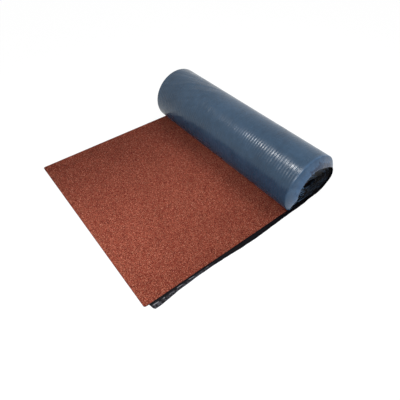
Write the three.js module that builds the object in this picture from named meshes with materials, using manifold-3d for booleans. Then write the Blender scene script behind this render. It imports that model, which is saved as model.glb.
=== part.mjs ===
// A roll of mineral-faced roofing felt, part unrolled. One sheet of felt lies flat, runs in under
// the roll, turns up at the back and winds in to the bore. Its bare selvedge stands out of the
// near end of the roll and tucks inwards, turn over turn. Millimetres, +Z up, standing on Z = 0:
// X runs along the roll's axis and Y from the sheet's free end towards the roll.
import * as THREE from 'three';
import { mergeVertices } from 'three/addons/utils/BufferGeometryUtils.js';
import Module from 'manifold-3d';

const wasm = await Module();
wasm.setup();

// The sheet.
const sheetLength = 10000;
const granuleWidth = 980;
const sheetThickness = 4.2;
const cornerRadius = 9;

// The bare selvedge along the sheet's near edge. Its outer edge wanders in a slow wave.
const selvedgeWidth = 20;
const selvedgeThickness = 1.8;
const selvedgeInset = 0.3;
const selvedgeSetback = 20;
const selvedgeCorner = 12;
const selvedgeWave = 3.5;
const selvedgeWaveLength = 500;

// The winding: the part that still lies flat, the bore, and the gaps between one turn and the next,
// which the roll's weight closes below and opens at its sides.
const flatLength = 861;
const boreHalfWidth = 36;
const boreHalfHeight = 26;
const sideGap = 2.4;
const bottomGap = 0.6;
const footRadius = 50;

// The selvedge on the outermost turn: over the top and down the front it stands straight out and
// then tucks in towards the bore. Inner turns reach out less and tuck in less.
const mouthReach = 31;
const secondReach = 22;
const lastReach = 14;
const topStand = 12;
const frontStand = 6;
const outerTuck = 52;
const innerTuck = 4;

// Where a turn comes down its selvedge draws in. On the first turn to land it then folds up,
// and that of the flat length is drawn in under the roll, from before the axis to past it.
const tipReach = 6;
const footReach = 7;
const footStand = 1.5;
const footTuck = 44;
const footDraw = 9;
const drawFrom = -60;
const drawTo = 80;

// Where on a turn these happen, in shares of it from the floor under the axis.
const leaveFrom = 0.1;
const leaveTo = 0.24;
const tuckFrom = 0.22;
const tuckTo = 0.42;
const frontFrom = 0.45;
const frontTo = 0.8;
const landFrom = 0.77;
const landTo = 0.905;
const foldUpTo = 0.96;

// The turns inside the outermost one have slid along the roll, away from the mouth.
const turnSlide = 6;

// The far end shows the turns as a spiral gap of this depth.
const endGapDepth = 14;

// Facets in the outermost and innermost turn, by the quarter, and steps along the selvedge.
const outerQuarterFacets = 10;
const innerQuarterFacets = 5;
const stepsPerWave = 16;
const cornerSteps = 4;
const quarterTurn = 0.25;

// How far one shape runs into another that it joins or cuts, in millimetres and in turns.
const joinDepth = 6;
const cutMargin = 1;
const endOverrun = 0.015;
const mergeWithin = 1e-4;

// Turns on the roll: a spiral of this pitch and bore takes up what doesn't lie flat.
const meanBore = (boreHalfWidth + boreHalfHeight) / 2 + sheetThickness / 2;
const meanPitch = sheetThickness + (3 * sideGap + bottomGap) / 4;
const woundLength = sheetLength - flatLength;
const woundRadius = Math.sqrt(meanBore ** 2 + (meanPitch * woundLength) / Math.PI);
const turnCount = (woundRadius - meanBore) / meanPitch;

// The roll's outer size follows from its turns.
const rollRadius = boreHalfWidth + sheetThickness + turnCount * (sheetThickness + sideGap);
const axisHeight = boreHalfHeight + sheetThickness + turnCount * (sheetThickness + bottomGap);

// The roll's section is a circle that lies flat below, with a tighter arc at each side of the foot.
const footArcHeight = footRadius - axisHeight;
const footHalfWidth = Math.sqrt((rollRadius - footRadius) ** 2 - footArcHeight ** 2);

// Its radius at an angle in the YZ plane.
function sectionRadius(angle) {
  const across = Math.abs(Math.cos(angle));
  const up = Math.sin(angle);
  if (up < 0 && across * axisHeight <= -up * footHalfWidth) return axisHeight / -up;
  const onCircle = up * footHalfWidth >= across * footArcHeight;
  if (onCircle) return rollRadius;
  const along = across * footHalfWidth + up * footArcHeight;
  const offset = footHalfWidth ** 2 + footArcHeight ** 2 - along ** 2;
  return along + Math.sqrt(footRadius ** 2 - offset);
}

// Radius of the bore, an oval, at an angle.
function boreRadius(angle) {
  return (boreHalfWidth * boreHalfHeight)
    / Math.hypot(boreHalfHeight * Math.cos(angle), boreHalfWidth * Math.sin(angle));
}

// Turns are counted inwards from the point on the floor under the axis.
function windingAngle(turns) {
  return 2 * Math.PI * turns - Math.PI / 2;
}

// Each turn keeps its level across the foot, and steps in by one pitch on its way round.
const footTurns = Math.atan(footHalfWidth / axisHeight) / (2 * Math.PI);

function levelsIn(turns) {
  const whole = Math.floor(turns);
  const pastFoot = (turns - whole - footTurns) / (1 - 2 * footTurns);
  return whole + THREE.MathUtils.clamp(pastFoot, 0, 1);
}

// Radius of the sheet's outer face after so many turns.
function outerFace(turns) {
  const angle = windingAngle(turns);
  const inner = boreRadius(angle) + sheetThickness;
  return THREE.MathUtils.lerp(sectionRadius(angle), inner, levelsIn(turns) / levelsIn(turnCount));
}

// A point of the section as (y, z), at a radius on the winding's angle.
function sectionPoint(turns, radius) {
  const angle = windingAngle(turns);
  return new THREE.Vector2(radius * Math.cos(angle), axisHeight + radius * Math.sin(angle));
}

// The facet ends of the winding between two counts of turns; every quarter turn is one of them.
function windingSteps(from, to) {
  const steps = [];
  for (let turn = Math.floor(from); turn < to; turn += 1) {
    const inwards = turn / turnCount;
    const quarter = Math.round(THREE.MathUtils.lerp(outerQuarterFacets, innerQuarterFacets, inwards));
    for (let facet = 0; facet < 4 * quarter; facet += 1) {
      const turns = turn + facet / (4 * quarter);
      if (turns >= from && turns < to) steps.push(turns);
    }
  }
  steps.push(to);
  return steps;
}

// Where the outermost turn has come down on the flat sheet.
function landingTurns() {
  return windingSteps(0, 1).find((turns) => turns >= 1 - footTurns);
}

// A closed three.js geometry as a solid.
function toSolid(geometry) {
  const bare = geometry.clone();
  bare.deleteAttribute('normal');
  bare.deleteAttribute('uv');
  const merged = mergeVertices(bare, mergeWithin);
  return new wasm.Manifold(new wasm.Mesh({
    numProp: 3,
    vertProperties: new Float32Array(merged.attributes.position.array),
    triVerts: new Uint32Array(merged.index.array),
  }));
}

// A solid as a three.js geometry.
function toGeometry(solid) {
  const mesh = solid.getMesh();
  const geometry = new THREE.BufferGeometry();
  geometry.setAttribute('position', new THREE.BufferAttribute(mesh.vertProperties, 3));
  geometry.setIndex(new THREE.BufferAttribute(mesh.triVerts, 1));
  geometry.computeVertexNormals();
  return geometry;
}

// A section drawn in Y and Z, drawn out along X.
function alongX(outline, fromX, toX) {
  const shape = new THREE.Shape(outline);
  const geometry = new THREE.ExtrudeGeometry(shape, { depth: toX - fromX, bevelEnabled: false });
  const yzx = new THREE.Matrix4().makeBasis(
    new THREE.Vector3(0, 1, 0),
    new THREE.Vector3(0, 0, 1),
    new THREE.Vector3(1, 0, 0),
  );
  return toSolid(geometry.applyMatrix4(yzx).translate(fromX, 0, 0));
}

// The sheet's two faces in section: the outer one and, a thickness further in, the inner one.
function outerPoint(turns) {
  return sectionPoint(turns, outerFace(turns));
}

function innerPoint(turns) {
  return sectionPoint(turns, outerFace(turns) - sheetThickness);
}

// The sheet in section: its underside from the free end in under the roll, once round the
// outermost turn to where that lands again, and back along its upper face.
function sheetBody() {
  const around = windingSteps(0, landingTurns()).map(outerPoint);
  const underside = new THREE.Vector2(-flatLength, 0);
  const landing = new THREE.Vector2(around.at(-1).x, sheetThickness);
  const upperEdge = new THREE.Vector2(-flatLength, sheetThickness);
  return alongX([underside, ...around, landing, upperEdge], 0, granuleWidth);
}

// What rounding takes off a free corner: the square outside a quarter circle. Side is 1 or -1
// for the corner towards +X or -X.
function cornerWaste(cornerX, side) {
  const waste = new THREE.Shape();
  waste.moveTo(cutMargin, -cornerRadius);
  waste.lineTo(0, -cornerRadius);
  waste.absarc(-cornerRadius, -cornerRadius, cornerRadius, 0, Math.PI / 2);
  waste.lineTo(-cornerRadius, cutMargin);
  waste.lineTo(cutMargin, cutMargin);
  const settings = { depth: sheetThickness + 2 * cutMargin, bevelEnabled: false, curveSegments: 5 };
  const geometry = new THREE.ExtrudeGeometry(waste, settings);
  const turn = side > 0 ? -Math.PI / 2 : Math.PI;
  return toSolid(geometry.rotateZ(turn).translate(cornerX, -flatLength, -cutMargin));
}

// The turns from just past where the sheet lands on itself, over a stretch of the roll's axis.
// They are bounded halfway across the gap that parts them from the outermost turn.
function innerTurns(fromX, toX) {
  const landed = landingTurns() + endOverrun;
  const midGap = (turns) => (
    sectionPoint(turns, (outerFace(turns) + outerFace(turns - 1) - sheetThickness) / 2)
  );
  return alongX(windingSteps(landed, landed + 1).map(midGap), fromX, toX);
}

// The bore, bounded by the inner face of the last turn, with the step that the sheet's end makes.
function bore() {
  const outline = windingSteps(turnCount - 1, turnCount).map(innerPoint);
  return alongX(outline, -turnSlide - cutMargin, granuleWidth + cutMargin);
}

// The gap between each turn and the next, open at the far end.
function endGap() {
  const landing = outerPoint(landingTurns());
  const heights = [landing.y, sheetThickness];
  const mouth = heights.map((height) => new THREE.Vector2(landing.x - cutMargin, height));
  const inwards = windingSteps(0, turnCount - 1).map(innerPoint);
  const pastEnd = [outerFace(turnCount - 1) - sheetThickness, outerFace(turnCount)];
  const innerEnd = pastEnd.map((radius) => sectionPoint(turnCount + endOverrun, radius));
  const outwards = windingSteps(landingTurns(), turnCount).map(outerPoint).reverse();
  const outline = [...mouth, ...inwards, ...innerEnd, ...outwards];
  return alongX(outline, -turnSlide - cutMargin, endGapDepth);
}

// How much of the selvedge is drawn in under the roll, at a distance past the axis.
function drawnIn(pastAxis) {
  return footDraw * THREE.MathUtils.smoothstep(pastAxis, drawFrom, drawTo);
}

// How far the selvedge of the flat length reaches past the granules, at a distance past the axis.
function flatReach(pastAxis) {
  const pastCorner = Math.min(pastAxis, 0) + flatLength - selvedgeSetback - selvedgeCorner;
  const wave = Math.cos((2 * Math.PI * pastCorner) / selvedgeWaveLength);
  return selvedgeWidth + selvedgeWave * wave - drawnIn(pastAxis);
}

// A cross-section of the selvedge as (x, depth below the sheet's outer face): straight out from
// an edge along the roll, then by a tuck towards the bore, with the same thickness throughout.
function selvedgeProfile({ edge, reach, stand, tuck }) {
  const bend = Math.min(stand, reach / 2);
  const slope = Math.atan2(tuck, reach - bend);
  const outer = [[edge - joinDepth, 0], [edge + bend, 0], [edge + reach, tuck]];
  const inner = [
    [edge - joinDepth, selvedgeThickness],
    [edge + bend - selvedgeThickness * Math.tan(slope / 2), selvedgeThickness],
    [edge + reach - selvedgeThickness * Math.sin(slope), tuck + selvedgeThickness * Math.cos(slope)],
  ];
  return [...outer, ...inner.reverse()].map(([x, depth]) => [x, depth + selvedgeInset]);
}

// Where the flat selvedge's sections lie behind the free end, and how much its rounded front
// corner takes off each.
function flatStations() {
  const stations = [];
  for (let step = 0; step < cornerSteps; step += 1) {
    const turned = (Math.PI / 2) * (step / cornerSteps);
    const behind = selvedgeSetback + selvedgeCorner * (1 - Math.cos(turned));
    stations.push([behind, selvedgeCorner * (1 - Math.sin(turned))]);
  }
  const spacing = selvedgeWaveLength / stepsPerWave;
  const first = selvedgeSetback + selvedgeCorner;
  for (let behind = first; behind < flatLength; behind += spacing) stations.push([behind, 0]);
  return stations;
}

// The selvedge beside the flat sheet, from its front corner to under the roll's axis.
function flatSelvedge() {
  return flatStations().map(([behind, corner]) => {
    const reach = flatReach(behind - flatLength) - corner;
    const profile = selvedgeProfile({ edge: granuleWidth, reach, stand: reach, tuck: 0 });
    return profile.map(([x, depth]) => new THREE.Vector3(x, behind - flatLength, depth));
  });
}

// How the selvedge lies after so many turns: the granule edge that it starts from, how far it
// reaches past that, how much of it stands straight, and how far the rest tucks in. What it
// does on a turn eases in and out, and grows less from turn to turn inwards.
function selvedgeLie(turns) {
  const { lerp, smoothstep } = THREE.MathUtils;
  const round = turns - Math.floor(turns);
  const inwards = Math.max(turns - 1, 0) / (turnCount - 1);
  const tucked = smoothstep(round, tuckFrom, tuckTo);
  const landed = smoothstep(round, landFrom, landTo);
  const left = smoothstep(round, leaveFrom, leaveTo);
  const onFoot = Math.max(smoothstep(round, landTo, foldUpTo), turns < 1 ? 0 : 1 - left);
  const pastAxis = Math.min(outerPoint(turns).x, drawTo);
  const letOut = flatReach(pastAxis) + drawnIn(pastAxis) * left;
  const outermost = lerp(letOut, mouthReach, smoothstep(turns, leaveFrom, frontFrom));
  const free = turns < 1 ? outermost : lerp(secondReach, lastReach, inwards);
  const freeTuck = tucked * (1 - landed) * lerp(outerTuck, innerTuck, inwards);
  const foldedUp = footTuck * THREE.MathUtils.clamp(2 - turns, 0, 1);
  return {
    edge: granuleWidth - turnSlide * smoothstep(turns, landTo, 1),
    reach: lerp(lerp(free, tipReach, landed), footReach, onFoot),
    stand: lerp(lerp(topStand, frontStand, smoothstep(round, frontFrom, frontTo)), footStand, onFoot),
    tuck: lerp(freeTuck, foldedUp, onFoot),
  };
}

// The selvedge on the roll. Under the axis it lies flat, and it follows the winding from there.
function woundSelvedge() {
  return windingSteps(0, turnCount - endOverrun).map((turns) => (
    selvedgeProfile(selvedgeLie(turns)).map(([x, depth]) => {
      const point = sectionPoint(turns, outerFace(turns) - depth);
      return new THREE.Vector3(x, point.x, point.y);
    })
  ));
}

// Sections joined into one closed solid, with a cap at each end.
function loft(sections) {
  const ring = sections[0].length;
  const positions = sections.flat().flatMap((point) => [point.x, point.y, point.z]);
  const index = [];
  for (let row = 0; row < sections.length - 1; row += 1) {
    for (let side = 0; side < ring; side += 1) {
      const a = row * ring + side;
      const b = row * ring + ((side + 1) % ring);
      index.push(a, b + ring, b, a, a + ring, b + ring);
    }
  }
  const last = (sections.length - 1) * ring;
  const rim = sections[0].map((point) => new THREE.Vector2(point.x, point.z));
  const cap = THREE.ShapeUtils.triangulateShape(rim, []);
  for (const [a, b, c] of cap) {
    index.push(a, b, c);
    index.push(last + a, last + c, last + b);
  }
  const geometry = new THREE.BufferGeometry();
  geometry.setAttribute('position', new THREE.Float32BufferAttribute(positions, 3));
  geometry.setIndex(index);
  return toSolid(geometry);
}

// The sheet without its selvedge: the flat length, and the turns with those inside slid along.
function granuledSheet() {
  const recess = innerTurns(granuleWidth - turnSlide, granuleWidth + cutMargin);
  const slid = innerTurns(-turnSlide, joinDepth);
  const corners = cornerWaste(0, -1).add(cornerWaste(granuleWidth, 1));
  return sheetBody().subtract(recess).add(slid).subtract(bore()).subtract(endGap()).subtract(corners);
}

// One sheet, so one solid.
function feltRoll() {
  const sheet = granuledSheet().add(loft([...flatSelvedge(), ...woundSelvedge()]));
  const felt = new THREE.MeshStandardMaterial({ color: 0x8a4a3a, roughness: 0.9, metalness: 0 });
  const mesh = new THREE.Mesh(toGeometry(sheet), felt);
  mesh.name = 'felt_sheet';
  const overallWidth = turnSlide + granuleWidth + mouthReach;
  const overallDepth = flatLength + outerFace(quarterTurn);
  mesh.position.set(turnSlide - overallWidth / 2, flatLength - overallDepth / 2, 0);
  return mesh;
}

const roll = new THREE.Group();
roll.add(feltRoll());

export default roll;
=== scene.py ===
# %% [markdown]
# # A roll of mineral-faced roofing felt, part unrolled
# The part is one sheet of felt, 10 m long and 1 m wide. Its first 0.78 m lies flat in front of
# the roll with the red-brown granules up, and the rest is wound into a roll that rests on it.
# What faces out on the roll is the blue-grey film of the underside. Along one edge a narrow strip
# has no granules, the selvedge: black on top, film below. On the roll it stands out of the end
# and folds inwards.
#
# The plain solid comes packed as a frame. Everything here is laid over that frame in metres, in
# the same axes: X along the roll, Y from the free end towards the roll, Z up.

# %% Load the frame
import math

import bpy
from mathutils import Matrix, Vector


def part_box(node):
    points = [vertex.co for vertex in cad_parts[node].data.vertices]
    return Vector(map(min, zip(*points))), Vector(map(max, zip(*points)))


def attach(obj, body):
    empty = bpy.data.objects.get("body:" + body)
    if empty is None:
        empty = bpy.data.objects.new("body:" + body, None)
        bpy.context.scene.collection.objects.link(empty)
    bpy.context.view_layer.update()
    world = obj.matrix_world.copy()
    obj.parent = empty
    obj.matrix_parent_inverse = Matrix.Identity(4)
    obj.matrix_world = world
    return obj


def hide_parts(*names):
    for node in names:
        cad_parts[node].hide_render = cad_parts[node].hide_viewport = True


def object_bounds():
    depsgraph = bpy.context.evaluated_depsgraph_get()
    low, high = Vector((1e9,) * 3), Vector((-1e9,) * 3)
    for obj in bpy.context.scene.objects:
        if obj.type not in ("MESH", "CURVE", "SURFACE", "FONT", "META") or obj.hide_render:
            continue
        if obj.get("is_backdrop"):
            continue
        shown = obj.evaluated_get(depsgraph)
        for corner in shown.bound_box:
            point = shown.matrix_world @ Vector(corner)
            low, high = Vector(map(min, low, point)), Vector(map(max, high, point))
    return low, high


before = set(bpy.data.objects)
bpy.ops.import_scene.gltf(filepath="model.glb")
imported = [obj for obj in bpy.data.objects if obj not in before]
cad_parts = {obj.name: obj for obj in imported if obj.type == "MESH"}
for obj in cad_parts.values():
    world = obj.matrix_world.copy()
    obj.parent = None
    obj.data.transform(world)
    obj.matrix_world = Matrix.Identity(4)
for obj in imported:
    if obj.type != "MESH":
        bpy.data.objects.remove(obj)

solid_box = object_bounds()
sheet_low, sheet_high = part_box("felt_sheet")
print("solid sheet, mm:", [round(1000 * (high - low), 1) for low, high in zip(sheet_low, sheet_high)])

# %% [markdown]
# ## The sizes of the winding
# A wound sheet follows one rule: each turn lies one sheet thickness and one gap inside the turn
# before it. The roll's own weight flattens its foot and closes the gaps there, so the gap is
# wide at the sides and narrow below. These are the same sizes that the solid was made from, and
# the number of turns and the outer size follow from the length of sheet.

# %% Sizes in metres
SHEET_LENGTH = 10.0
SHEET_THICKNESS = 0.0042
GRANULE_WIDTH = 0.980
FLAT_LENGTH = 0.861
BORE_HALF_WIDTH = 0.036
BORE_HALF_HEIGHT = 0.026
SIDE_GAP = 0.0024
BOTTOM_GAP = 0.0006
FOOT_RADIUS = 0.050
TURN_SLIDE = 0.006
CORNER_RADIUS = 0.009

mean_bore = (BORE_HALF_WIDTH + BORE_HALF_HEIGHT + SHEET_THICKNESS) / 2
mean_pitch = SHEET_THICKNESS + (3 * SIDE_GAP + BOTTOM_GAP) / 4
wound_length = SHEET_LENGTH - FLAT_LENGTH
turns = (math.sqrt(mean_bore**2 + mean_pitch * wound_length / math.pi) - mean_bore) / mean_pitch
roll_radius = BORE_HALF_WIDTH + SHEET_THICKNESS + turns * (SHEET_THICKNESS + SIDE_GAP)
axis_height = BORE_HALF_HEIGHT + SHEET_THICKNESS + turns * (SHEET_THICKNESS + BOTTOM_GAP)
foot_half_width = math.sqrt((roll_radius - FOOT_RADIUS)**2 - (FOOT_RADIUS - axis_height)**2)
foot_turns = math.atan(foot_half_width / axis_height) / (2 * math.pi)

FAR_EDGE = sheet_low[0] + TURN_SLIDE
NEAR_EDGE = FAR_EDGE + GRANULE_WIDTH
FREE_END = sheet_low[1]
AXIS_Y = FREE_END + FLAT_LENGTH
print(f"{turns:.2f} turns, roll {2000 * roll_radius:.0f} mm deep, axis {1000 * axis_height:.0f} mm up")

# %% [markdown]
# ## A shorthand for node maths
# Geometry Nodes and materials both work with Math nodes. A long sum takes dozens of them, and
# wiring each by hand hides the sum. `Sum` wraps one output socket, so a sum can be written in
# plain Python and still becomes ordinary Math nodes that anyone can open and read.

# %% Node helpers
def feed(tree, place, value):
    """Links a socket to an input, or sets the input to a plain value."""
    if isinstance(value, Sum):
        value = value.socket
    if isinstance(value, bpy.types.NodeSocket):
        tree.links.new(value, place)
    else:
        place.default_value = value


def node(tree, kind, *values, output=0, named=None, **settings):
    """Adds a node, sets it up, feeds its inputs in order or by name, and returns one output."""
    made = tree.nodes.new(kind)
    for setting, value in settings.items():
        setattr(made, setting, value)
    for place, value in zip(made.inputs, values):
        feed(tree, place, value)
    for title, value in (named or {}).items():
        feed(tree, made.inputs[title], value)
    return Sum(tree, made.outputs[output])


class Sum:
    """One output socket that can be added, multiplied and compared."""

    def __init__(self, tree, socket):
        self.tree = tree
        self.socket = socket

    def maths(self, operation, *others):
        return node(self.tree, "ShaderNodeMath", self, *others, operation=operation)

    def __add__(self, other):
        return self.maths("ADD", other)

    def __sub__(self, other):
        return self.maths("SUBTRACT", other)

    def __rsub__(self, other):
        return node(self.tree, "ShaderNodeMath", other, self, operation="SUBTRACT")

    def __mul__(self, other):
        return self.maths("MULTIPLY", other)

    def __truediv__(self, other):
        return self.maths("DIVIDE", other)

    def __rtruediv__(self, other):
        return node(self.tree, "ShaderNodeMath", other, self, operation="DIVIDE")

    def __lt__(self, other):
        return self.maths("LESS_THAN", other)

    def __gt__(self, other):
        return self.maths("GREATER_THAN", other)

    def between(self, low, high):
        return self.maths("MAXIMUM", low).maths("MINIMUM", high)

    __radd__ = __add__
    __rmul__ = __mul__


print("Sum turns +, -, *, / and comparisons into Math nodes")

# %% Blends, steps, positions and noise
def blend(share, first, second):
    """first where share is 0, second where it is 1."""
    return first + (second - first) * share


def smooth_step(tree, value, low, high):
    """0 below low, 1 above high, and an S-curve between."""
    return node(tree, "ShaderNodeMapRange", value, low, high, 0.0, 1.0, interpolation_type="SMOOTHSTEP")


def point(tree, x, y, z):
    """Three numbers as one position."""
    return node(tree, "ShaderNodeCombineXYZ", x, y, z)


def parts_of(tree, vector):
    """The three numbers in a position."""
    split = tree.nodes.new("ShaderNodeSeparateXYZ")
    feed(tree, split.inputs[0], vector)
    return [Sum(tree, output) for output in split.outputs]


def noise(tree, place, scale, detail=2.0, roughness=0.5):
    """A noise texture read at a place, from 0 to 1."""
    return node(tree, "ShaderNodeTexNoise",
                named={"Vector": place, "Scale": scale, "Detail": detail, "Roughness": roughness})


def plane_noise(tree, x, y, fineness, layer=0.0, detail=2.0, roughness=0.5):
    """Noise over two numbers, with how fine it is along each. Each layer is a new pattern."""
    place = point(tree, x * fineness[0], y * fineness[1], layer)
    return noise(tree, place, 1.0, detail, roughness)


print("smooth_step and noise give 0 to 1, and blend mixes two values by such a share")

# %% [markdown]
# ## Finishes: granules
# The face of the felt is crushed slate, pressed into the bitumen while it is hot. Each grain
# has a tone of its own, so the colour comes from two places: a tone stored on every loose
# grain, and for the bed between them a fine cell pattern in the same range. A picture of
# gravel would repeat. Cells and noise on Object coordinates don't.
#
# Some patterns have to follow the sheet round the roll, where Object coordinates would cut
# straight through it. They read the attribute "wound" that the layers below store: the place
# along the roll, the place round it, and how far past the granule edge. The place round it
# counts from under the roll's axis, and it is below zero on the flat length.

# %% Colours and materials
def to_linear(level):
    """One colour level as mixed on a screen, 0 to 255, as the linear number for it."""
    share = level / 255
    return ((share + 0.055) / 1.055)**2.4 if level > 10 else share / 12.92


def srgb(red, green, blue):
    """A colour as mixed on a screen, as the linear numbers that Blender wants."""
    return (to_linear(red), to_linear(green), to_linear(blue), 1.0)


def start_material(name, roughness, specular=0.5):
    """A material with one Principled shader, that shader, and its node tree."""
    material = bpy.data.materials.new(name)
    material.use_nodes = True
    shader = material.node_tree.nodes["Principled BSDF"]
    shader.inputs["Roughness"].default_value = roughness
    shader.inputs["Specular IOR Level"].default_value = specular
    return material, shader, material.node_tree


def colour_ramp(tree, share, *stops):
    """Colours spread along a share from 0 to 1. Each stop is a place and a colour."""
    made = tree.nodes.new("ShaderNodeValToRGB")
    feed(tree, made.inputs[0], share)
    band = made.color_ramp
    for extra in stops[2:]:
        band.elements.new(extra[0])
    for element, (place, colour) in zip(band.elements, sorted(stops)):
        element.position = place
        element.color = colour
    return Sum(tree, made.outputs[0])


def mix_colours(tree, share, first, second, blend_type="MIX"):
    """Two colours mixed by a share. The Mix node's colours are its inputs 6 and 7."""
    made = tree.nodes.new("ShaderNodeMix")
    made.data_type = "RGBA"
    made.blend_type = blend_type
    for place, value in ((0, share), (6, first), (7, second)):
        feed(tree, made.inputs[place], value)
    return Sum(tree, made.outputs[2])


print("half grey in linear numbers:", [round(level, 3) for level in srgb(128, 128, 128)])

# %% Bump, and the places that patterns follow
def bump(tree, shader, height, strength, distance):
    """Feeds a height into the shader's normal."""
    bumped = node(tree, "ShaderNodeBump",
                  named={"Strength": strength, "Distance": distance, "Height": height})
    feed(tree, shader.inputs["Normal"], bumped)


def object_place(tree):
    """Object coordinates, in metres."""
    return node(tree, "ShaderNodeTexCoord", output="Object")


def attribute(tree, name, output):
    """A value stored on the mesh under a name."""
    return node(tree, "ShaderNodeAttribute", output=output, attribute_name=name)


def wound_place(tree):
    """The place along the roll, the place round it, and how far past the granule edge."""
    return parts_of(tree, attribute(tree, "wound", "Vector"))


print("patterns read Object coordinates or the attributes wound and tone")

# %% Granules, loose and in their bed
GRAIN_TONES = (
    (0.00, srgb(70, 27, 21)),
    (0.22, srgb(124, 50, 36)),
    (0.50, srgb(166, 75, 57)),
    (0.80, srgb(196, 103, 80)),
    (1.00, srgb(236, 164, 134)),
)
BATCH_TINTS = (0.3, srgb(243, 240, 239)), (0.7, srgb(255, 255, 255))
CLUMP_CONTRAST = 0.9
CELLS_PER_METRE = 520.0
CELL_DEPTH = 0.0006
BED_SHADE = srgb(40, 24, 22)
SHADE_SHARE = 0.45
# Painted shade: black for the granule bed by the selvedge where it lies in the nip under the roll and
# in the turns, from these places along and round the roll.
PAINTED_SHADE_BLACK = srgb(14, 13, 15)
PAINTED_SHADE_FROM_EDGE = (NEAR_EDGE - 0.022, NEAR_EDGE - 0.014)
PAINTED_SHADE_FROM = (-0.11, -0.08)


def drift(tree, place, colour):
    """Slow change of tone over the sheet, as batches of granules differ a little."""
    cloud = noise(tree, place, scale=7.0, detail=3.0, roughness=0.55)
    return mix_colours(tree, 1.0, colour, colour_ramp(tree, cloud, *BATCH_TINTS), "MULTIPLY")


def grain_material():
    material, shader, tree = start_material("loose_granules", roughness=0.82, specular=0.1)
    place = object_place(tree)
    tone = attribute(tree, "tone", "Fac")
    clump = noise(tree, place, scale=210.0, detail=1.0)
    colour = colour_ramp(tree, tone + (clump - 0.5) * CLUMP_CONTRAST, *GRAIN_TONES)
    feed(tree, shader.inputs["Base Color"], drift(tree, place, colour))
    return material


def granule_bed_material():
    """Cells like grains, shaded, and painted black as shade by the selvedge in the nip under the roll
    and in its turns.
    """
    material, shader, tree = start_material("granule_bed", roughness=0.9, specular=0.1)
    place = object_place(tree)
    cells = tree.nodes.new("ShaderNodeTexVoronoi")
    feed(tree, cells.inputs["Vector"], place)
    cells.inputs["Scale"].default_value = CELLS_PER_METRE
    tone = parts_of(tree, cells.outputs["Color"])[0]
    colour = colour_ramp(tree, tone, *GRAIN_TONES)
    dark = mix_colours(tree, SHADE_SHARE, drift(tree, place, colour), BED_SHADE)
    along_roll, round_roll = wound_place(tree)[:2]
    # Painted shade: black by the selvedge from just before the roll on, where the bed lies in shade.
    at_edge = smooth_step(tree, along_roll, *PAINTED_SHADE_FROM_EDGE)
    in_painted_shade = at_edge * smooth_step(tree, round_roll, *PAINTED_SHADE_FROM)
    feed(tree, shader.inputs["Base Color"], mix_colours(tree, in_painted_shade, dark, PAINTED_SHADE_BLACK))
    sunk = Sum(tree, cells.outputs["Distance"]) * -1.0
    bump(tree, shader, sunk, strength=0.9, distance=CELL_DEPTH)
    return material


grain_finish = grain_material()
bed_finish = granule_bed_material()
print("granule finishes:", grain_finish.name, bed_finish.name)

# %% [markdown]
# ## Finish: the film
# The underside carries a thin film that burns off when the felt is torched down. It is slate
# blue over black and half glossy, and it shrinks into fine waves that run round the roll, so a
# highlight on it breaks into short strokes. The coarser ripples are real shape, made below. The
# waves are far finer than any mesh step, so they are bump: a sine along the roll, swayed and
# strengthened by noise, and weaker over the back. On the selvedge nothing stiffens the film, so
# its gathers run across. It is bluer there, and lighter too, which is painted light on the band
# that leans towards the light. Over the top and back of the mouth its rim is darkened in blots,
# which is painted shade. Near the far end it lies a little slack, in long soft wrinkles. Dust
# dulls the gloss in patches.

# %% Film
# Colours, each with its place from 0 to 1 on a ramp.
FILM_GREYS = (0.32, srgb(31, 56, 79)), (0.5, srgb(40, 67, 91)), (0.68, srgb(50, 77, 103))
# Painted light: the selvedge's blues are lighter than the greys, for the band that leans towards the
# light.
SELVEDGE_BLUES_AND_LIGHT = (0.3, srgb(62, 98, 138)), (0.7, srgb(84, 122, 162))
CLOUD_SHARE = 0.6
# Painted shade: the rim over the top and back of the mouth is darkened in blots.
RIM_SHADE = srgb(20, 32, 62)
RIM_SHADE_STRENGTH = 0.75
SHADE_TOWARDS_RIM = 0.30
RIM_SHADE_EDGE = (0.62, 0.78)
DUST_ROUGHNESS = (0.35, 0.22), (0.7, 0.36)
# Places where a change begins and is done: round the roll, past the edge, and along the roll.
RIM_SHADE_STARTS = (0.18, 0.26)
RIM_SHADE_ENDS = (0.40, 0.52)
FRONT_STARTS = (0.40, 0.50)
RIM = (0.35, 1.0)
SLACK_ENDS = (FAR_EDGE + 0.22, FAR_EDGE + 0.48)
# The waves in metres, then heights as multiples of the wave height.
WAVE_LENGTH = 0.014
WAVE_HEIGHT = 0.0006
WAVE_SWAY = 0.004
BACK_WAVES = 0.3
GATHER_HEIGHT = 2.0
SLACK_HEIGHT = 8.0
# How fine each noise is: along the roll or past the edge, then round the roll.
BLOTS = (5.0, 70.0)
SWAY = (40.0, 20.0)
STRENGTH = (60.0, 16.0)
GATHERS = (1.5, 55.0)
CREASES = (13.0, 3.0)
SLACK = (7.0, 26.0)
# Creases and slack lie at a slant, which this much of the other direction gives them.
CREASE_SLANT = 9.0
SLACK_SLANT = 12.0


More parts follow.
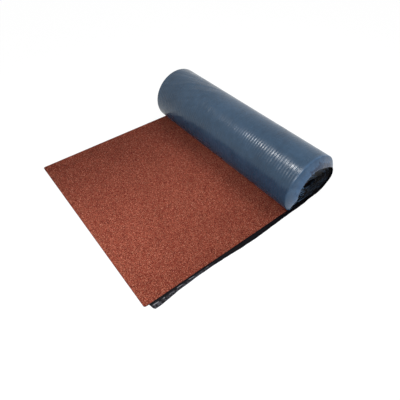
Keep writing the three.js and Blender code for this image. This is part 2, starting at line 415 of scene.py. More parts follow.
def film_colour(tree, place, along_roll, round_roll, beyond):
    """Grey on the sheet, bluer on the selvedge and lighter there as painted light, and painted shade at
    the rim over the mouth.
    """
    cloud = noise(tree, place, scale=5.0, detail=4.0, roughness=0.6)
    on_sheet = point(tree, along_roll, round_roll, 0.0)
    mottle = noise(tree, on_sheet, scale=38.0, detail=3.0, roughness=0.6)
    grey = colour_ramp(tree, cloud * CLOUD_SHARE + mottle * (1.0 - CLOUD_SHARE), *FILM_GREYS)
    # Painted light: the selvedge blue is lighter, for the band that leans towards the light.
    blue = colour_ramp(tree, mottle, *SELVEDGE_BLUES_AND_LIGHT)
    before_rim_shade = mix_colours(tree, beyond.between(0.0, 1.0), grey, blue)
    before_end = 1.0 - smooth_step(tree, round_roll, *RIM_SHADE_ENDS)
    over_mouth = smooth_step(tree, round_roll, *RIM_SHADE_STARTS) * before_end
    towards_rim = smooth_step(tree, beyond, *RIM) * over_mouth * SHADE_TOWARDS_RIM
    blots = plane_noise(tree, beyond, round_roll, BLOTS, layer=2.0, detail=3.0, roughness=0.7)
    # Painted shade: dark blots on the rim over the mouth.
    shaded_rim = smooth_step(tree, blots + towards_rim, *RIM_SHADE_EDGE) * RIM_SHADE_STRENGTH
    return mix_colours(tree, shaded_rim, before_rim_shade, RIM_SHADE)


def film_height(tree, along_roll, round_roll, beyond):
    """Waves, gathers on the selvedge, creases and slack, all counted in wave heights."""
    sway = plane_noise(tree, along_roll, round_roll, SWAY)
    waves = ((along_roll + sway * WAVE_SWAY) * (2 * math.pi / WAVE_LENGTH)).maths("SINE")
    strength = plane_noise(tree, along_roll, round_roll, STRENGTH, layer=5.0, detail=1.0)
    over_front = blend(smooth_step(tree, round_roll, *FRONT_STARTS), BACK_WAVES, 1.0)
    gathers = plane_noise(tree, beyond, round_roll, GATHERS) * beyond.between(0.0, 1.0)
    slanting = along_roll * CREASES[0] + round_roll * CREASE_SLANT
    creases = plane_noise(tree, slanting, round_roll, (1.0, CREASES[1]), layer=8.0)
    near_far_end = 1.0 - smooth_step(tree, along_roll, *SLACK_ENDS)
    slanting = round_roll * SLACK[1] + along_roll * SLACK_SLANT
    slack = plane_noise(tree, along_roll, slanting, (SLACK[0], 1.0), layer=1.0, detail=1.0)
    wavy = waves * strength * over_front + gathers * GATHER_HEIGHT + creases
    return wavy + slack * near_far_end * SLACK_HEIGHT


def film_material():
    material, shader, tree = start_material("backing_film", roughness=0.3, specular=0.4)
    place = object_place(tree)
    along_roll, round_roll, beyond = wound_place(tree)
    colour = film_colour(tree, place, along_roll, round_roll, beyond)
    feed(tree, shader.inputs["Base Color"], colour)
    levels = [(share, (level, level, level, 1.0)) for share, level in DUST_ROUGHNESS]
    dust = noise(tree, place, scale=16.0, detail=4.0, roughness=0.6)
    feed(tree, shader.inputs["Roughness"], colour_ramp(tree, dust, *levels))
    height = film_height(tree, along_roll, round_roll, beyond)
    bump(tree, shader, height, strength=1.0, distance=WAVE_HEIGHT)
    return material


film_finish = film_material()
print("film finish:", len(film_finish.node_tree.nodes), "nodes")

# %% [markdown]
# ## Finishes: inside the mouth, and bitumen
# At the selvedge end the turns fold in over each other and leave a dark mouth. Little light gets
# in, and the film there is smeared with bitumen. It is near black between blue streaks round the
# roll, which is that smear and painted shade as well, and the streaks thin out towards the back of
# the mouth, which is painted shade alone. The streaks are one noise, stretched round the roll and
# shifted about once a turn, that the inner film and both bitumens share, so that they run on from
# one to the next.
#
# Bare bitumen is near black, with oily patches and wrinkles. White surroundings would turn it
# grey through their reflection, so its specular level is low. The strip that lies flat at the
# front is handled most: it is scuffed grey towards its edge, and the grey patches are painted
# sheen on its wrinkles as well. A painted highlight runs along its creases.

# %% Streaks in the mouth
# In the attribute "wound", the place round the roll is metres of sheet times this scale.
MARK_SCALE = 0.9
BITUMEN_SPECULAR = 0.06
STREAK_BLUE = srgb(128, 168, 212)
# Smear and painted shade: the inner film is near black between its streaks.
INNER_FILM_DIRT_AND_SHADE = srgb(6, 6, 10)
STREAKS = (110.0, 12.0)
STREAK_SHIFT = 5.3
STREAK_EDGE = (0.52, 0.57)
STREAKS_FROM = 0.87
# Painted shade: across these places along Y the streaks thin out towards the back of the mouth.
PAINTED_BACK_SHADE = (AXIS_Y - 0.05, AXIS_Y + 0.04)
STREAKS_IN_BACK_SHADE = 0.1


def mouth_streaks(tree):
    """Where film shows on the turns in the mouth: streaks round the roll, fewer at its back as painted
    shade.
    """
    along_roll, round_roll = wound_place(tree)[:2]
    wound = round_roll / MARK_SCALE
    shift = wound.maths("FLOOR")
    streaks = plane_noise(tree, along_roll, wound - shift, STREAKS,
                          layer=shift * STREAK_SHIFT, roughness=0.6)
    # Painted shade: fewer streaks towards the back of the mouth.
    into_back_shade = smooth_step(tree, parts_of(tree, object_place(tree))[1], *PAINTED_BACK_SHADE)
    shown = smooth_step(tree, streaks, *STREAK_EDGE) * blend(into_back_shade, 1.0, STREAKS_IN_BACK_SHADE)
    return shown * (round_roll > STREAKS_FROM)


def inner_film_material():
    material, shader, tree = start_material("inner_film", roughness=0.55, specular=BITUMEN_SPECULAR)
    # Smear and painted shade: near black film between the blue streaks.
    colour = mix_colours(tree, mouth_streaks(tree), INNER_FILM_DIRT_AND_SHADE, STREAK_BLUE)
    feed(tree, shader.inputs["Base Color"], colour)
    return material


inner_film_finish = inner_film_material()
print("inner film finish:", len(inner_film_finish.node_tree.nodes), "nodes")

# %% Bitumen
BITUMEN_TONES = (0.35, srgb(8, 7, 10)), (0.6, srgb(15, 13, 17)), (0.8, srgb(30, 29, 36))
WRINKLE_DEPTH = 0.0012
STREAK_STRENGTH = 0.8
# Scuffed grey patches, which are also painted sheen on the strip's wrinkles.
SCUFF_AND_SHEEN_STRENGTH = 0.8
SCUFF_AND_SHEEN_GREY = srgb(76, 76, 82)
# Painted highlight along the creases.
CREASE_HIGHLIGHT = srgb(118, 118, 124)
SCUFF_AND_SHEEN_END = (-0.56, -0.47)
SCUFF_AND_SHEEN_EDGE = (0.42, 0.60)
OUTER_STRIP = (0.35, 0.60)
# The painted highlight along a crease wanders over the selvedge by this share of its width, from this
# share on.
CREASE_SWING = 0.6
CREASE_FROM = 0.15
CREASE_WIDTH = (0.03, 0.09)
CREASE_BREAKS = (0.48, 0.58)
# Both noises run round the roll only, each along a line of its own.
SWINGS = (14.0, 1.0)
GAPS = (40.0, 1.0)
GAP_LINE = 4.0


def bitumen_colour(tree, place):
    """Near black with oily patches, and streaked with film in the mouth."""
    oily = noise(tree, place, scale=30.0, detail=4.0, roughness=0.6)
    at_near_end = wound_place(tree)[0] > 0.0
    streaks = mouth_streaks(tree) * at_near_end * STREAK_STRENGTH
    return mix_colours(tree, streaks, colour_ramp(tree, oily, *BITUMEN_TONES), STREAK_BLUE)


def scuffed_and_highlit_colour(tree, place, colour):
    """A colour scuffed grey, which is partly painted sheen, and with a painted highlight along a
    crease, over the front stretch of the selvedge.
    """
    round_roll, beyond = wound_place(tree)[1:]
    near_front = 1.0 - smooth_step(tree, round_roll, *SCUFF_AND_SHEEN_END)
    grit = noise(tree, place, scale=120.0, detail=4.0, roughness=0.7)
    # Scuffs that are also painted sheen on the wrinkles.
    scuffs_and_sheen = smooth_step(tree, grit, *SCUFF_AND_SHEEN_EDGE) * smooth_step(tree, beyond, *OUTER_STRIP)
    scuffed_and_highlit = mix_colours(tree, scuffs_and_sheen * near_front * SCUFF_AND_SHEEN_STRENGTH, colour, SCUFF_AND_SHEEN_GREY)
    swing = plane_noise(tree, round_roll, 0.0, SWINGS, detail=1.0)
    off_crease = (beyond - (swing * CREASE_SWING + CREASE_FROM)).maths("ABSOLUTE")
    gaps = plane_noise(tree, round_roll, GAP_LINE, GAPS, detail=1.0)
    broken = smooth_step(tree, gaps, *CREASE_BREAKS)
    # Painted highlight: a pale line along a crease.
    crease_highlight = (1.0 - smooth_step(tree, off_crease, *CREASE_WIDTH)) * broken * near_front
    return mix_colours(tree, crease_highlight, scuffed_and_highlit, CREASE_HIGHLIGHT)


def bitumen_material(name, scuffed_and_highlit):
    material, shader, tree = start_material(name, roughness=0.5, specular=BITUMEN_SPECULAR)
    place = object_place(tree)
    colour = bitumen_colour(tree, place)
    if scuffed_and_highlit:
        colour = scuffed_and_highlit_colour(tree, place, colour)
    feed(tree, shader.inputs["Base Color"], colour)
    wrinkles = noise(tree, place, scale=170.0, detail=4.0, roughness=0.6)
    bump(tree, shader, wrinkles, strength=0.8, distance=WRINKLE_DEPTH)
    return material


bitumen_finish = bitumen_material("bitumen", scuffed_and_highlit=False)
selvedge_finish = bitumen_material("selvedge_bitumen", scuffed_and_highlit=True)
print("bitumen finishes:", bitumen_finish.name, selvedge_finish.name)

# %% [markdown]
# ## The rule of the winding
# A point of the sheet is given by how far along the sheet it is and how deep in the thickness.
# Along is counted in metres while the sheet lies flat, below zero, and in turns once it is on
# the roll. The rule turns these two numbers into a height and a distance from the roll's axis.
# It could be computed in Python and stored as a long list of points. As a node group it stays a
# rule: change the bore or the turns in the modifier, and every layer of the sheet follows.

# %% Start and end of a tree
def start_tree(name, sizes, outputs):
    """A geometry tree with named inputs, their Sums by name, and its output node."""
    tree = bpy.data.node_groups.new(name, "GeometryNodeTree")
    for title, value in sizes.items():
        kind = {float: "Float", int: "Int", bpy.types.Material: "Material"}[type(value)]
        made = tree.interface.new_socket(name=title, in_out="INPUT", socket_type=f"NodeSocket{kind}")
        if kind != "Material":
            made.default_value = value
    for title, kind in outputs.items():
        tree.interface.new_socket(name=title, in_out="OUTPUT", socket_type=f"NodeSocket{kind}")
    entry = tree.nodes.new("NodeGroupInput")
    inputs = {socket.name: Sum(tree, socket) for socket in entry.outputs if socket.name}
    return tree, inputs, tree.nodes.new("NodeGroupOutput")


def end_tree(tree, end, geometry, material):
    """Ends a tree in plain faces with a material, because an export drops instances."""
    real = node(tree, "GeometryNodeRealizeInstances", geometry)
    done = node(tree, "GeometryNodeSetMaterial", named={"Geometry": real, "Material": material})
    feed(tree, end.inputs["Geometry"], done)


print("the sizes given to a tree become its named inputs")

# %% Node group: the winding
WINDING = {
    "Sheet thickness": SHEET_THICKNESS,
    "Turns": turns,
    "Roll radius": roll_radius,
    "Axis height": axis_height,
    "Foot radius": FOOT_RADIUS,
    "Foot half width": foot_half_width,
    "Foot turns": foot_turns,
    "Bore half width": BORE_HALF_WIDTH,
    "Bore half height": BORE_HALF_HEIGHT,
}


def section_radius(size, across, up):
    """The roll's outer radius: a circle, flat below, with a tighter arc at each side of the foot."""
    arc_height = size["Foot radius"] - size["Axis height"]
    on_flat = (up < 0.0) * (across * size["Axis height"] < up * size["Foot half width"] * -1.0)
    on_circle = up * size["Foot half width"] > across * arc_height
    along = across * size["Foot half width"] + up * arc_height
    offset = size["Foot half width"] * size["Foot half width"] + arc_height * arc_height - along * along
    arc = along + (size["Foot radius"] * size["Foot radius"] - offset).maths("SQRT")
    radius = blend(on_circle, arc, size["Roll radius"])
    return blend(on_flat, radius, size["Axis height"] / (up * -1.0))


def levels_in(size, along):
    """How many pitches inwards: level across the foot, stepping in over the rest of each turn."""
    whole = along.maths("FLOOR")
    past_foot = (along - whole - size["Foot turns"]) / (1.0 - size["Foot turns"] * 2.0)
    return whole + past_foot.between(0.0, 1.0)


def winding_group():
    sizes = {"Along": 0.0, "Depth": 0.0, **WINDING}
    tree, size, end = start_tree("winding", sizes, {"Y": "Float", "Z": "Float"})
    along = size["Along"].maths("MAXIMUM", 0.0)
    angle = along * (2 * math.pi) - math.pi / 2
    cosine, sine = angle.maths("COSINE"), angle.maths("SINE")
    wide, high = size["Bore half width"], size["Bore half height"]
    squares = (high * cosine).maths("POWER", 2.0) + (wide * sine).maths("POWER", 2.0)
    bore = wide * high / squares.maths("SQRT")
    inwards = levels_in(size, along) / levels_in(size, size["Turns"])
    outer = section_radius(size, cosine.maths("ABSOLUTE"), sine)
    radius = blend(inwards, outer, bore + size["Sheet thickness"]) - size["Depth"]
    flat = size["Along"] < 0.0
    feed(tree, end.inputs["Y"], blend(flat, radius * cosine, size["Along"]) + AXIS_Y)
    feed(tree, end.inputs["Z"], blend(flat, size["Axis height"] + radius * sine, size["Depth"]))
    return tree


winding = winding_group()
print("winding rule:", len(winding.nodes), "nodes")

# %% [markdown]
# ## One layer of the sheet
# The felt is made of layers that are bonded together: film below, bitumen on a carrier, then
# granules. Each is the same shape at its own depth. So one tree makes any layer. It starts from
# a box with as many steps as the layer needs, which is already closed and faces outwards, and
# moves every point: across the sheet, along the winding, and down to its depth. The flat length
# needs few steps, and they crowd towards the free end, where the sheet's corners are rounded.
#
# Beyond the granule edge the same tree folds the selvedge inwards. Its outer turns fold furthest
# and reach out most, so the end of the roll is dished, and thin unstiffened sheet never folds
# cleanly: noise rumples it more and more towards its rim.

# %% Sizes of the selvedge and of what handling does
SELVEDGE = {
    "Selvedge width": 0.020,
    "Selvedge wave": 0.0035,
    "Wave length": 0.500,
    "Corner radius": CORNER_RADIUS,
    "Setback": 0.020,
    "Corner": 0.012,
    "Front flare": 0.006,
    "Flat length": FLAT_LENGTH,
    "Mouth reach": 0.031,
    "Second reach": 0.022,
    "Last reach": 0.014,
    "Stand on top": 0.012,
    "Stand in front": 0.006,
    "Outer tuck": 0.052,
    "Inner tuck": 0.004,
    "Tip reach": 0.006,
    "Foot reach": 0.007,
    "Foot stand": 0.0015,
    "Foot tuck": 0.044,
    "Foot draw": 0.009,
    "Turn slide": TURN_SLIDE,
    "Rumple": 0.0022,
    "Ripple height": 0.0,
    "Turn wander": 0.0012,
}
LAYER = {
    "Edge X": FAR_EDGE,
    "Selvedge share": 0.0,
    "Outer depth": 0.0,
    "Inner depth": 0.001,
    "First": 0.0,
    "Last": 1.0,
    "Flat share": 0.0,
    "Crowding": 1.0,
    "Steps across": 2,
    "Steps along": 100,
}
print(len(SELVEDGE), "selvedge sizes,", len(LAYER), "layer sizes")

# %% How far the selvedge reaches
# Metres behind the front end of the strip, then metres past the axis.
FLARE_ENDS = (0.03, 0.13)
DRAWN_IN = (-0.06, 0.08)
# Shares of a turn: 0 is the foot, 0.25 the back, 0.5 the top and 0.75 the front.
LEAVES_FOOT = (0.10, 0.24)
WIDENS = (0.10, 0.45)
TUCKS_IN = (0.22, 0.42)
COMES_FORWARD = (0.45, 0.80)
LANDS = (0.77, 0.905)
FOLDS_UP = (0.905, 0.96)
FIRST_TURN = 0.9999
METRES_A_TURN = 0.8


def selvedge_on_floor(tree, size, along):
    """How wide the selvedge is where it lies flat: a slow wave, with a corner at the front."""
    behind = along.maths("MINIMUM", 0.0) + size["Flat length"] - size["Setback"]
    past_corner = behind - size["Corner"]
    wave = (past_corner * (2 * math.pi) / size["Wave length"]).maths("COSINE")
    from_corner = 1.0 - (behind / size["Corner"]).between(0.0, 1.0)
    corner = (1.0 - from_corner * from_corner).maths("SQRT")
    flare = size["Front flare"] * (1.0 - smooth_step(tree, behind, *FLARE_ENDS))
    return (size["Selvedge width"] + size["Selvedge wave"] * wave + flare) * corner


def selvedge_reach(tree, size, along):
    """At a place along: how far the selvedge passes the granule edge, how far it tucks in, and
    how much of it stands straight before that."""
    flat = selvedge_on_floor(tree, size, along)
    on_roll = along.maths("MAXIMUM", 0.0)
    round_turn = on_roll.maths("FRACT")
    tucked = smooth_step(tree, round_turn, *TUCKS_IN)
    landed = smooth_step(tree, round_turn, *LANDS)
    leaving = 1.0 - smooth_step(tree, round_turn, *LEAVES_FOOT)
    past_first = along > FIRST_TURN
    on_foot = smooth_step(tree, round_turn, *FOLDS_UP).maths("MAXIMUM", leaving * past_first)
    past_axis = along.maths("MINIMUM", 0.0) + on_roll * METRES_A_TURN
    drawn = size["Foot draw"] * smooth_step(tree, past_axis, *DRAWN_IN) * leaving
    outermost = blend(smooth_step(tree, along, *WIDENS), flat - drawn, size["Mouth reach"])
    inwards = (along - 1.0).maths("MAXIMUM", 0.0) / (size["Turns"] - 1.0)
    free = blend(past_first, outermost, blend(inwards, size["Second reach"], size["Last reach"]))
    reach = blend(on_foot, blend(landed, free, size["Tip reach"]), size["Foot reach"])
    free_tuck = tucked * (1.0 - landed) * blend(inwards, size["Outer tuck"], size["Inner tuck"])
    folded_up = size["Foot tuck"] * (2.0 - along).between(0.0, 1.0)
    to_front = smooth_step(tree, round_turn, *COMES_FORWARD)
    stand = blend(to_front, size["Stand on top"], size["Stand in front"])
    return reach, blend(on_foot, free_tuck, folded_up), blend(on_foot, stand, size["Foot stand"])


print("selvedge passes the granules by", [1000 * SELVEDGE[title] for title in (
    "Selvedge width", "Mouth reach", "Last reach")], "mm: flat, outermost turn, last turn")

# %% Where a step lies, and the rounded corners
def along_sheet(size, share):
    """Along, from a share of the box's length: first what lies flat, then the turns."""
    lying = (share / size["Flat share"]).between(0.0, 1.0).maths("POWER", size["Crowding"])
    flat = size["First"] * (1.0 - lying)
    start = size["First"].maths("MAXIMUM", 0.0)
    wound = blend((share - size["Flat share"]) / (1.0 - size["Flat share"]), start, size["Last"])
    return blend(share < size["Flat share"], wound, flat)


def off_corner(size, along):
    """How much the rounding of the free corners takes off the sheet's width."""
    radius = size["Corner radius"]
    short = (radius - (along + size["Flat length"])).between(0.0, radius)
    return radius - (radius * radius - short * short).maths("MAXIMUM", 0.0).maths("SQRT")


print("free corners rounded by", 1000 * CORNER_RADIUS, "mm")

# %% How a fold bends, and what handling does
LATEST_BEND = 0.75
FOLD_CURVE = 1.15
BEND_WIDTH = 0.12
# Shares of the outermost turn, on its way off the floor and down to it again.
LEAVES_FLOOR = (0.12, 0.20)
MEETS_FLOOR = (0.86, 0.92)
# About how many metres of sheet the outermost turn takes.
ROLL_GIRTH = 0.9
# How fine each noise is. The second number goes round the roll.
RIPPLES = (150.0, 24.0)
RUMPLES = (0.6, 7.0)
# The wander follows the turns alone, along one line of its noise.
WANDER = (0.8, 1.0)
WANDER_LINE = 3.0


def fold(tree, beyond, reach, tuck, stand):
    """How much of the tuck a point beyond the edge has, and how steep the sheet is there."""
    bend = (stand / reach).between(0.0, LATEST_BEND)
    folded = ((beyond - bend) / (1.0 - bend)).between(0.0, 1.0).maths("POWER", FOLD_CURVE)
    bent = smooth_step(tree, beyond, bend - BEND_WIDTH, bend + BEND_WIDTH)
    return folded, tuck / (reach * (1.0 - bend)) * bent


def either_way(share):
    """A share from 0 to 1, spread from -1 to 1."""
    return (share - 0.5) * 2.0


def handling(tree, size, along, round_roll, body_x, beyond):
    """Turns that wander, a selvedge that is rumpled two ways, and the ripples of the film."""
    wander = either_way(plane_noise(tree, along, WANDER_LINE, WANDER, detail=1.0))
    wander = wander * size["Turn wander"] * along.between(0.0, 1.0)
    place = point(tree, beyond * RUMPLES[0], round_roll * RUMPLES[1], 0.0)
    rumple = noise(tree, place, scale=1.0, detail=3.0, roughness=0.6)
    rumple = either_way(rumple) * size["Rumple"] * beyond
    rim = either_way(noise(tree, place, scale=3.0)) * size["Rumple"] * beyond
    before_floor = 1.0 - smooth_step(tree, along, *MEETS_FLOOR)
    off_floor = smooth_step(tree, along, *LEAVES_FLOOR) * before_floor
    ripples = plane_noise(tree, body_x, round_roll, RIPPLES, detail=1.0)
    return wander, rumple, rim, ripples * size["Ripple height"] * off_floor


print("a fold bends over", BEND_WIDTH, "of the selvedge to each side")

# %% Node tree: one layer
def layer_tree():
    sizes = {**WINDING, **SELVEDGE, **LAYER, "Material": bitumen_finish}
    tree, size, end = start_tree("sheet_layer", sizes, {"Geometry": "Geometry"})
    box = node(tree, "GeometryNodeMeshCube", (1.0, 1.0, 1.0),
               size["Steps across"], size["Steps along"], 2)
    where = node(tree, "GeometryNodeInputPosition")
    across, share, deep = [part + 0.5 for part in parts_of(tree, where)]
    along = along_sheet(size, share)
    reach, tuck, stand = selvedge_reach(tree, size, along)

    body_share = 1.0 - size["Selvedge share"]
    beyond = ((across - body_share) / size["Selvedge share"]).between(0.0, 1.0)
    body_x = blend((across / body_share).between(0.0, 1.0), size["Edge X"], NEAR_EDGE)
    rounding = off_corner(size, along)
    body_x = body_x.between(FAR_EDGE + rounding, NEAR_EDGE - rounding)
    folded, steepness = fold(tree, beyond, reach, tuck, stand)
    level = 1.0 / (steepness * steepness + 1.0).maths("SQRT")

    round_roll = blend(along < 0.0, along * ROLL_GIRTH, along)
    wander, rumple, rim, ripple = handling(tree, size, along, round_roll, body_x, beyond)
    thickness = blend(deep, size["Outer depth"], size["Inner depth"]) - ripple * (1.0 - deep)
    lift = blend(along < size["Foot turns"], rumple, rumple.maths("ABSOLUTE") * 2.0)
    slide = size["Turn slide"] * smooth_step(tree, along, LANDS[1], 1.0)
    x = body_x - slide + reach * beyond - thickness * level * steepness + wander + rim

    place = tree.nodes.new("GeometryNodeGroup")
    place.node_tree = winding
    feed(tree, place.inputs["Along"], along)
    feed(tree, place.inputs["Depth"], thickness * level + tuck * folded + lift)
    for title in WINDING:
        feed(tree, place.inputs[title], size[title])
    to = point(tree, x, place.outputs["Y"], place.outputs["Z"])
    marks = point(tree, x, round_roll * MARK_SCALE, beyond)
    marked = node(tree, "GeometryNodeStoreNamedAttribute", data_type="FLOAT_VECTOR",
                  named={"Geometry": box, "Name": "wound", "Value": marks})
    moved = node(tree, "GeometryNodeSetPosition", named={"Geometry": marked, "Position": to})
    smooth = node(tree, "GeometryNodeSetShadeSmooth", moved)
    end_tree(tree, end, smooth, size["Material"])
    return tree


sheet_layer = layer_tree()
print("layer tree:", len(sheet_layer.nodes), "nodes,", len(sheet_layer.interface.items_tree), "sockets")

# %% [markdown]
# ## The sheet, layer by layer
# The bitumen carries the sheet from its free end to its last turn, and the granule bed lies on
# it. The gaps between turns are real here and go right through the roll, so both ends show the
# turns. The film on the outermost turn is in view all over, so it is a piece of its own with
# fine steps for its ripples, and it runs on over the fold to the rim of the selvedge.

# %% Make a piece from a tree
def grow(name, tree, settings):
    """Runs a tree on an empty object and keeps what it makes as a plain mesh at the origin."""
    piece = bpy.data.objects.new(name, bpy.data.meshes.new(name))
    bpy.context.scene.collection.objects.link(piece)
    modifier = piece.modifiers.new(tree.name, "NODES")
    modifier.node_group = tree
    for socket in tree.interface.items_tree:
        if socket.in_out == "INPUT" and socket.name in settings:
            modifier[socket.identifier] = settings[socket.name]
    ready = piece.evaluated_get(bpy.context.evaluated_depsgraph_get())
    made = bpy.data.meshes.new_from_object(ready)
    piece.modifiers.remove(modifier)
    piece.data = made
    made.name = name
    triangles = sum(len(face.vertices) - 2 for face in made.polygons)
    print(f"{name}: {triangles} triangles")
    return piece


def own(piece):
    """Says that a piece belongs to the roll and stands for the plain solid."""
    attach(piece, "root")
    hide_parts("felt_sheet")


# %% Bitumen, granule bed and film
FILM = 0.0003
BED_DEPTH = 0.0033
BED_FACE = 0.0040
WHOLE_SHEET = {"First": -FLAT_LENGTH, "Last": turns, "Flat share": 0.02, "Crowding": 3.0,
               "Steps along": 1200}

bitumen_sheet = grow("bitumen_sheet", sheet_layer, {
    **WHOLE_SHEET, "Outer depth": FILM, "Inner depth": BED_DEPTH, "Material": bitumen_finish})
granule_bed = grow("granule_bed", sheet_layer, {
    **WHOLE_SHEET, "Outer depth": BED_DEPTH, "Inner depth": BED_FACE, "Material": bed_finish})
flat_film = grow("flat_film", sheet_layer, {
    "Inner depth": FILM, "First": -FLAT_LENGTH, "Last": 0.0,
    "Flat share": 1.0, "Crowding": 3.0, "Steps along": 24, "Material": film_finish})
roll_film = grow("roll_film", sheet_layer, {
    "Inner depth": FILM, "First": 0.0, "Last": 1.0, "Steps across": 330, "Steps along": 97,
    "Selvedge share": 0.06, "Ripple height": 0.0007, "Material": film_finish})
turns_film = grow("turns_film", sheet_layer, {
    "Inner depth": FILM, "First": 1.0, "Last": turns, "Steps across": 16, "Steps along": 1539,
    "Selvedge share": 0.9, "Material": inner_film_finish})

own(bitumen_sheet)
own(granule_bed)
for piece in (flat_film, roll_film, turns_film):
    own(piece)

# %% [markdown]
# ## The selvedge
# The bare strip is the same bitumen and film without its granules, so it is thin and limp. Its
# front corner is rounded, its edge wanders, and it ripples on the floor. On the roll it is one
# more pair of layers in the same tree, kept close under the film.

# %% Selvedge strip
SELVEDGE_THICKNESS = 0.0018
ROOT = 0.006
STRIP = {"Edge X": NEAR_EDGE - ROOT, "First": SELVEDGE["Setback"] - FLAT_LENGTH}

selvedge = grow("selvedge", sheet_layer, {
    **STRIP, "Outer depth": 2 * FILM, "Inner depth": FILM + SELVEDGE_THICKNESS,
    "Last": turns, "Flat share": 0.14, "Steps across": 16, "Steps along": 1900,
    "Selvedge share": 0.9, "Material": selvedge_finish})
selvedge_film = grow("selvedge_film", sheet_layer, {
    **STRIP, "Inner depth": FILM, "Last": 0.0, "Flat share": 1.0, "Steps across": 14,
    "Steps along": 240, "Selvedge share": 0.85, "Material": film_finish})
own(selvedge)
own(selvedge_film)

# %% [markdown]
# ## Loose granules
# Close to, the face is not a coloured sheet but thousands of separate grains with dark gaps.
# A bump can't give the rough edge that the sheet has against the floor, so here the grains are
# real. One tree scatters points no closer than a grain, puts a six-sided chip on each, turns and
# stretches it, and stores its tone. A chip is seen only from outside and is 2 mm across, so six
# faces are enough. The face is split into bands to keep each piece light.

# %% Chip
def chip_mesh():
    """A crushed grain: two low pyramids on one triangle."""
    ring = [(math.cos(turn), math.sin(turn), 0.0) for turn in (0.0, 2.2, 4.1)]
    points = [*ring, (0.15, -0.1, 0.8), (-0.1, 0.1, -0.8)]
    faces = []
    for side in range(3):
        onward = (side + 1) % 3
        faces += [(side, onward, 3), (onward, side, 4)]
    mesh = bpy.data.meshes.new("chip")
    mesh.from_pydata(points, [], faces)
    return mesh


chip = bpy.data.objects.new("chip", chip_mesh())
print("chip:", len(chip.data.polygons), "faces")

# %% Node tree: scatter grains on a band of the sheet
GRAIN_MARGIN = 0.001
MOST_GRAINS = 600000.0
STRETCH = (0.65, 1.25)
GRAINS = {
    "From X": FAR_EDGE + GRAIN_MARGIN,
    "To X": NEAR_EDGE - GRAIN_MARGIN,
    "From Y": 0.0,
    "To Y": 0.1,
    "Height": BED_FACE,
    "Spacing": 0.0026,
    "Grain": 0.0017,
    "Seed": 1,
}


def random_vector(tree, low, high):
    """Three random numbers for each point, all between the same two limits."""
    return node(tree, "FunctionNodeRandomValue", (low,) * 3, (high,) * 3, data_type="FLOAT_VECTOR")


def inside_corners(tree, size):
    """Whether a point lies inside the rounded free corners of the sheet."""
    x, y = parts_of(tree, node(tree, "GeometryNodeInputPosition"))[:2]
    past_far = (size["From X"] + CORNER_RADIUS) - x
    past_near = x - (size["To X"] - CORNER_RADIUS)
    past_x = past_far.maths("MAXIMUM", past_near).maths("MAXIMUM", 0.0)
    past_y = ((FREE_END + CORNER_RADIUS) - y).maths("MAXIMUM", 0.0)
    return past_x * past_x + past_y * past_y < (CORNER_RADIUS - GRAIN_MARGIN)**2


def grain_tree():
    sizes = {**GRAINS, "Material": grain_finish}
    tree, size, end = start_tree("scatter_grains", sizes, {"Geometry": "Geometry"})
    width, depth = size["To X"] - size["From X"], size["To Y"] - size["From Y"]
    patch = node(tree, "GeometryNodeMeshGrid", width, depth, 2, 2)
    middle_x = (size["From X"] + size["To X"]) * 0.5
    middle_y = (size["From Y"] + size["To Y"]) * 0.5
    centre = point(tree, middle_x, middle_y, size["Height"])
    placed = node(tree, "GeometryNodeTransform", patch, named={"Translation": centre})
    spread = node(tree, "GeometryNodeDistributePointsOnFaces", distribute_method="POISSON",
                  output="Points", named={"Mesh": placed, "Distance Min": size["Spacing"],
                                          "Density Max": MOST_GRAINS, "Seed": size["Seed"]})
    tone = node(tree, "FunctionNodeRandomValue", output=1, data_type="FLOAT",
                named={"Seed": size["Seed"]})
    marked = node(tree, "GeometryNodeStoreNamedAttribute",
                  named={"Geometry": spread, "Name": "tone", "Value": tone})
    scaled = node(tree, "ShaderNodeVectorMath", random_vector(tree, *STRETCH), operation="SCALE",
                  named={"Scale": size["Grain"]})
    source = node(tree, "GeometryNodeObjectInfo", output="Geometry", named={"Object": chip})
    chips = node(tree, "GeometryNodeInstanceOnPoints", named={
        "Points": marked, "Selection": inside_corners(tree, size), "Instance": source,
        "Rotation": random_vector(tree, 0.0, 2 * math.pi), "Scale": scaled})
    end_tree(tree, end, chips, size["Material"])
    return tree


scatter_grains = grain_tree()
print("scatter tree:", len(scatter_grains.nodes), "nodes")

# %% Grains on the flat length, in bands
CLEAR_OF_ROLL = 0.020
CLEAR_OF_END = 0.0005
LAST_GRAIN_Y = AXIS_Y - foot_half_width - CLEAR_OF_ROLL
BANDS = 4
SPACING = GRAINS["Spacing"]
band_depth = (LAST_GRAIN_Y - FREE_END) / BANDS
for band in range(BANDS):
    grains = grow(f"grains_{band + 1}", scatter_grains, {
        "From Y": FREE_END + CLEAR_OF_END + band * band_depth,
        "To Y": FREE_END + (band + 1) * band_depth,
        "Seed": band + 1, "Spacing": SPACING, "Material": grain_finish})
    own(grains)
bpy.data.objects.remove(chip)

# %% [markdown]
# ## Floor, light and camera
# The sheet is shown on a plain pale floor. The world gives soft light from all round at a plain
# level. One large lamp over the free end lights the granules there most, and one behind the roll
# lights its top. The second is kept out of the gloss, where it would draw a band of its own. The
# third is long and narrow, and the other way about: it is seen only in the gloss, where it draws
# the streak along the roll. A lamp so narrow is broken up by the film's waves; a wide one isn't.
#
# The camera looks down steeply across the near corner, from the selvedge side.

# %% Floor
FLOOR_REACH = 12.0
FLOOR_DROP = 0.0005
FLOOR_GREY = srgb(205, 205, 205)
FLOOR_GLOW = 1.12
GLOW_SHARE = 0.85


def seen_rays(tree):
    """1 for camera, glossy and transmission rays, 0 for the light that falls on the object."""
    path = tree.nodes.new("ShaderNodeLightPath")
    seen = Sum(tree, path.outputs["Is Camera Ray"])
    for ray in ("Is Glossy Ray", "Is Transmission Ray"):
        seen = seen.maths("MAXIMUM", path.outputs[ray])
    return seen


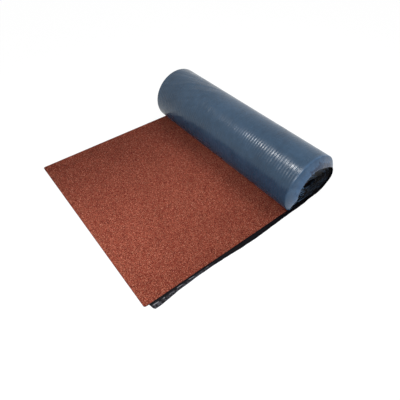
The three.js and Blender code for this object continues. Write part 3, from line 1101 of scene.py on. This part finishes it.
def floor_material():
    """Mostly white where it is seen, with enough of the lit floor in it to keep the shadow."""
    material, shader, tree = start_material("pale_floor", roughness=0.9)
    shader.inputs["Base Color"].default_value = FLOOR_GREY
    glow = node(tree, "ShaderNodeEmission", named={"Strength": FLOOR_GLOW})
    mixed = node(tree, "ShaderNodeMixShader", seen_rays(tree) * GLOW_SHARE, shader.outputs[0], glow)
    feed(tree, tree.nodes["Material Output"].inputs["Surface"], mixed)
    return material


floor_mesh = bpy.data.meshes.new("floor")
floor_corners = [(side * FLOOR_REACH, end * FLOOR_REACH, 0) for side, end in (
    (-1, -1), (1, -1), (1, 1), (-1, 1))]
floor_mesh.from_pydata(floor_corners, [], [(0, 1, 2, 3)])
floor_mesh.materials.append(floor_material())
floor = bpy.data.objects.new("floor", floor_mesh)
floor.location.z = -FLOOR_DROP
bpy.context.scene.collection.objects.link(floor)
floor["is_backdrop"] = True
print("floor:", 2 * FLOOR_REACH, "m square")

# %% Light
SOFT_LIGHT = 0.36

world = bpy.data.worlds.new("studio")
bpy.context.scene.world = world
world.use_nodes = True
surround = world.node_tree.nodes["Background"]
surround.inputs["Color"].default_value = (1.0, 1.0, 1.0, 1.0)
world_strength = blend(seen_rays(world.node_tree), SOFT_LIGHT, 1.0)
feed(world.node_tree, surround.inputs["Strength"], world_strength)


def area_lamp(name, place, target, width, height, watts):
    """A soft rectangular lamp that faces a target."""
    light = bpy.data.lights.new(name, "AREA")
    light.shape = "RECTANGLE"
    light.size, light.size_y, light.energy = width, height, watts
    lamp = bpy.data.objects.new(name, light)
    lamp.location = place
    lamp.rotation_euler = (Vector(target) - Vector(place)).to_track_quat("-Z", "Y").to_euler()
    bpy.context.scene.collection.objects.link(lamp)
    return lamp


area_lamp("near", place=(0.50, -1.12, 1.15), target=(0.35, -1.05, 0.0),
          width=1.0, height=0.8, watts=20.0)
above = area_lamp("above", place=(0.45, 0.95, 1.60), target=(0.15, 0.10, 0.0),
                  width=1.2, height=0.8, watts=17.0)
above.visible_glossy = False
streak = area_lamp("streak", place=(-0.42, -0.64, 2.10), target=(-0.42, 0.26, 0.23),
                   width=0.08, height=0.42, watts=24.0)
streak.visible_diffuse = False
print("soft light", SOFT_LIGHT, "and lamps:", [light.name for light in bpy.data.lights])

# %% Camera
SENSOR_WIDTH = 36.0


def look(place, azimuth, pitch, roll, lens):
    """A camera at a place. Azimuth 0 looks along +Y, and pitch is how far it looks down."""
    turn, down, tilt = (math.radians(angle) for angle in (azimuth, pitch, roll))
    back = Vector((math.sin(turn) * math.cos(down), -math.cos(turn) * math.cos(down), math.sin(down)))
    side = (-back).cross(Vector((0, 0, 1))).normalized()
    up = side.cross(-back)
    side, up = side * math.cos(tilt) + up * math.sin(tilt), up * math.cos(tilt) - side * math.sin(tilt)
    camera = bpy.data.objects.new("camera", bpy.data.cameras.new("camera"))
    camera.data.lens = lens
    camera.data.sensor_width = SENSOR_WIDTH
    bpy.context.scene.collection.objects.link(camera)
    turned = Matrix((side, up, back)).transposed().to_4x4()
    camera.matrix_world = Matrix.Translation(place) @ turned
    bpy.context.scene.camera = camera
    return camera


camera = look(place=(1.0845, -0.7094, 1.2056), azimuth=52.56, pitch=46.52, roll=-0.73, lens=31.91)
bpy.context.scene.view_settings.view_transform = "Standard"
print(f"camera {camera.location.length:.2f} m from the middle, lens {camera.data.lens:.0f} mm")

# %% Measure and finish
dressed_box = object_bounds()
sizes = {"solid": [list(map(float, corner)) for corner in solid_box],
         "dressed": [list(map(float, corner)) for corner in dressed_box]}
print("solid and dressed boxes, mm:", {name: [[round(1000 * v, 1) for v in corner] for corner in box]
                                       for name, box in sizes.items()})
